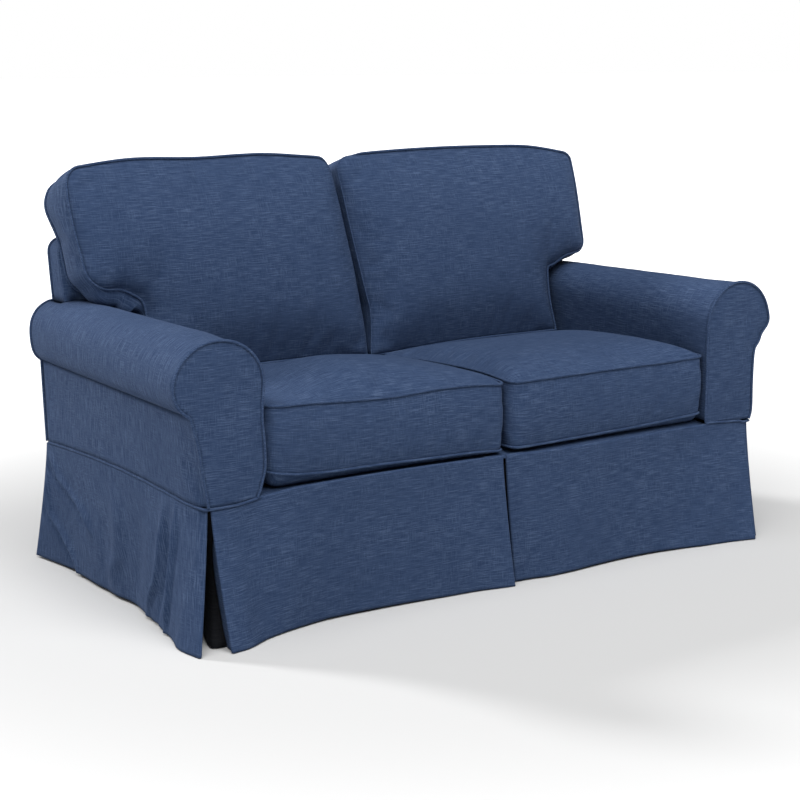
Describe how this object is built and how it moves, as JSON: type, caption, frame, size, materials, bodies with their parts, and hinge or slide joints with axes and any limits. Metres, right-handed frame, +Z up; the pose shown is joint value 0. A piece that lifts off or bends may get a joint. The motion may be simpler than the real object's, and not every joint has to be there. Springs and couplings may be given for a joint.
{
  "type": "sofa slipcover",
  "caption": "Fitted slipcover for a small roll-arm sofa: hollow corded body, pleated skirt to the floor, and loose boxed seat and back cushions.",
  "frame": {"origin": "on the floor under the middle of the whole cover", "axes": "+X to the right as seen from in front (the width), +Y from the front towards the back, +Z up"},
  "size_m": [1.5729, 0.84, 0.9021],
  "materials": {
    "arm_front_left": "matte linen-look slub weave",
    "arm_front_right": "matte linen-look slub weave",
    "arm_front_welt_left": "matte linen-look slub weave",
    "arm_front_welt_right": "matte linen-look slub weave",
    "arm_roll_left": "matte linen-look slub weave",
    "arm_roll_right": "matte linen-look slub weave",
    "back_band": "matte linen-look slub weave",
    "back_cushion_left": "matte linen-look slub weave",
    "back_cushion_left_welt_front": "matte linen-look slub weave",
    "back_cushion_left_welt_rear": "matte linen-look slub weave",
    "back_cushion_right": "matte linen-look slub weave",
    "back_cushion_right_welt_front": "matte linen-look slub weave",
    "back_cushion_right_welt_rear": "matte linen-look slub weave",
    "inside_back": "matte linen-look slub weave",
    "outside_arm_left": "matte linen-look slub weave",
    "outside_arm_right": "matte linen-look slub weave",
    "outside_back": "matte linen-look slub weave",
    "outside_back_welt": "matte linen-look slub weave",
    "pleat_inset_back_left": "matte linen-look slub weave",
    "pleat_inset_back_right": "matte linen-look slub weave",
    "pleat_inset_front_left": "matte linen-look slub weave",
    "pleat_inset_front_right": "matte linen-look slub weave",
    "pleat_inset_middle": "matte linen-look slub weave",
    "seat_cushion_left": "matte linen-look slub weave",
    "seat_cushion_left_welt_front": "matte linen-look slub weave",
    "seat_cushion_left_welt_rear": "matte linen-look slub weave",
    "seat_cushion_right": "matte linen-look slub weave",
    "seat_cushion_right_welt_front": "matte linen-look slub weave",
    "seat_cushion_right_welt_rear": "matte linen-look slub weave",
    "seat_deck": "matte linen-look slub weave",
    "skirt_back": "matte linen-look slub weave",
    "skirt_front_left": "matte linen-look slub weave",
    "skirt_front_right": "matte linen-look slub weave",
    "skirt_seam_welt": "matte linen-look slub weave",
    "skirt_side_left": "matte linen-look slub weave",
    "skirt_side_right": "matte linen-look slub weave"
  },
  "bodies": {
    "root": {"arm_front_left": "arm_front_left", "arm_front_right": "arm_front_right", "arm_front_welt_left": "arm_front_welt_left", "arm_front_welt_right": "arm_front_welt_right", "arm_roll_left": "arm_roll_left", "arm_roll_right": "arm_roll_right", "back_band": "back_band", "back_cushion_left": "back_cushion_left", "back_cushion_left_welt_front": "back_cushion_left_welt_front", "back_cushion_left_welt_rear": "back_cushion_left_welt_rear", "back_cushion_right": "back_cushion_right", "back_cushion_right_welt_front": "back_cushion_right_welt_front", "back_cushion_right_welt_rear": "back_cushion_right_welt_rear", "inside_back": "inside_back", "outside_arm_left": "outside_arm_left", "outside_arm_right": "outside_arm_right", "outside_back": "outside_back", "outside_back_welt": "outside_back_welt", "pleat_inset_back_left": "pleat_inset_back_left", "pleat_inset_back_right": "pleat_inset_back_right", "pleat_inset_front_left": "pleat_inset_front_left", "pleat_inset_front_right": "pleat_inset_front_right", "pleat_inset_middle": "pleat_inset_middle", "seat_cushion_left": "seat_cushion_left", "seat_cushion_left_welt_front": "seat_cushion_left_welt_front", "seat_cushion_left_welt_rear": "seat_cushion_left_welt_rear", "seat_cushion_right": "seat_cushion_right", "seat_cushion_right_welt_front": "seat_cushion_right_welt_front", "seat_cushion_right_welt_rear": "seat_cushion_right_welt_rear", "seat_deck": "seat_deck", "skirt_back": "skirt_back", "skirt_front_left": "skirt_front_left", "skirt_front_right": "skirt_front_right", "skirt_seam_welt": "skirt_seam_welt", "skirt_side_left": "skirt_side_left", "skirt_side_right": "skirt_side_right"}
  },
  "joints": []
}
